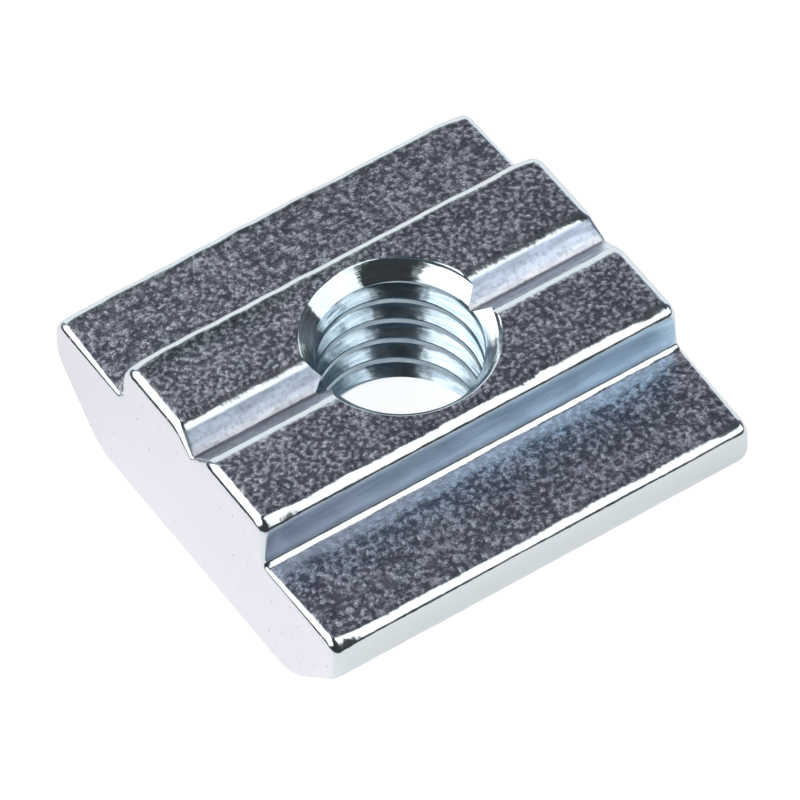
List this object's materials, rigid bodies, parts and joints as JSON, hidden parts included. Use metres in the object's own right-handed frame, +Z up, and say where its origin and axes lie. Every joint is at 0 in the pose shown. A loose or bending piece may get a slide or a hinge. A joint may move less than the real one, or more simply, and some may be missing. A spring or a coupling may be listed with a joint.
{
  "type": "t slot nut",
  "caption": "T-slot nut cut from a drawn steel bar: stepped T section with sloping flanks under the shoulders, a V groove along the neck and a threaded hole countersunk at both mouths.",
  "frame": {"origin": "on the thread's axis, in the plane of the underside", "axes": "+Z up the thread, the way the screw leaves; +Y along the slot; +X across the slot"},
  "size_m": [0.02, 0.0198, 0.0074],
  "materials": {
    "zinc_plated_steel": "bright bluish zinc plating on drawn steel: grainy on the drawn tops, smooth on the sides, cut ends and thread"
  },
  "bodies": {
    "root": {"nut_body": "zinc_plated_steel"}
  },
  "joints": []
}
